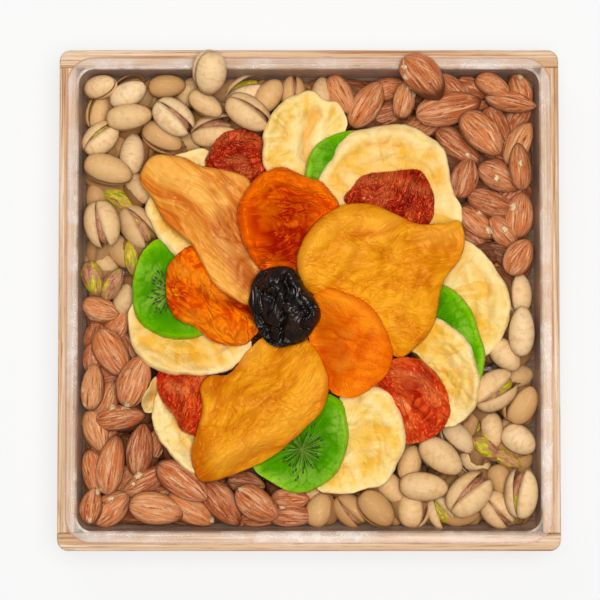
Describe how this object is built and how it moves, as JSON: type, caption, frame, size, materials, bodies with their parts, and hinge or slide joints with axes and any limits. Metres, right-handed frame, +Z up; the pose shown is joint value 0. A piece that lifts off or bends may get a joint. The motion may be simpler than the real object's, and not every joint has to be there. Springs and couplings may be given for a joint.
{
  "type": "fruit and nut gift tray",
  "caption": "Shallow square wooden tray with a clear lift-out liner, filled with pistachios and almonds in opposite corners under a fan of dried fruit.",
  "frame": {"origin": "middle of the tray's underside, on the surface that it stands on", "axes": "+Z up out of the tray, +Y away from the front rail to the back rail, +X to the right seen from above with the back rail at the top"},
  "size_m": [0.2286, 0.2286, 0.0527],
  "materials": {
    "tray_wood": "pale, planed, unvarnished",
    "panel_wood": "thin board, unvarnished",
    "liner_plastic": "clear, thermoformed, glossy",
    "pistachio_shell": "dry, smooth, hard",
    "almond_skin": "roasted and salted, ridged",
    "apple_ring": "dried, soft sheen",
    "kiwi_slice": "candied, glossy",
    "red_plum": "candied, glossy, wrinkled",
    "apricot_half": "dried, satin",
    "pear_half": "dried, satin, leathery",
    "prune": "glossy, wrinkled"
  },
  "bodies": {
    "tray": {"rail_back": "tray_wood", "rail_front": "tray_wood", "rail_left": "tray_wood", "rail_right": "tray_wood", "base_panel": "panel_wood"},
    "insert": {"liner": "liner_plastic", "pistachio_heap_back_left": "pistachio_shell", "almond_heap_back_right": "almond_skin", "pistachio_heap_front_right": "pistachio_shell", "almond_heap_front_left": "almond_skin", "pistachio_01": "pistachio_shell", "pistachio_02": "pistachio_shell", "pistachio_03": "pistachio_shell", "pistachio_04": "pistachio_shell", "pistachio_05": "pistachio_shell", "pistachio_06": "pistachio_shell", "pistachio_07": "pistachio_shell", "pistachio_08": "pistachio_shell", "pistachio_09": "pistachio_shell", "pistachio_10": "pistachio_shell", "pistachio_11": "pistachio_shell", "pistachio_12": "pistachio_shell", "pistachio_13": "pistachio_shell", "almond_01": "almond_skin", "almond_02": "almond_skin", "almond_03": "almond_skin", "almond_04": "almond_skin", "almond_05": "almond_skin", "almond_06": "almond_skin", "almond_07": "almond_skin", "almond_08": "almond_skin", "almond_09": "almond_skin", "almond_10": "almond_skin", "apple_right": "apple_ring", "apple_front_right": "apple_ring", "apple_front": "apple_ring", "apple_sliver": "apple_ring", "apple_front_left": "apple_ring", "apple_left": "apple_ring", "apple_back_left": "apple_ring", "apple_back": "apple_ring", "apple_back_right": "apple_ring", "kiwi_right": "kiwi_slice", "kiwi_front": "kiwi_slice", "kiwi_left": "kiwi_slice", "kiwi_back": "kiwi_slice", "plum_front_right": "red_plum", "plum_front_left": "red_plum", "plum_back_left": "red_plum", "plum_back_right": "red_plum", "apricot_left": "apricot_half", "apricot_back": "apricot_half", "apricot_front_right": "apricot_half", "pear_back_left": "pear_half", "pear_right": "pear_half", "pear_front": "pear_half", "prune_middle": "prune", "prune_tucked_in": "prune"}
  },
  "joints": [
    {"name": "liner_lift", "type": "slide", "parent": "tray", "child": "insert", "axis": [0, 0, 1], "range_m": [0, 0.06]}
  ]
}
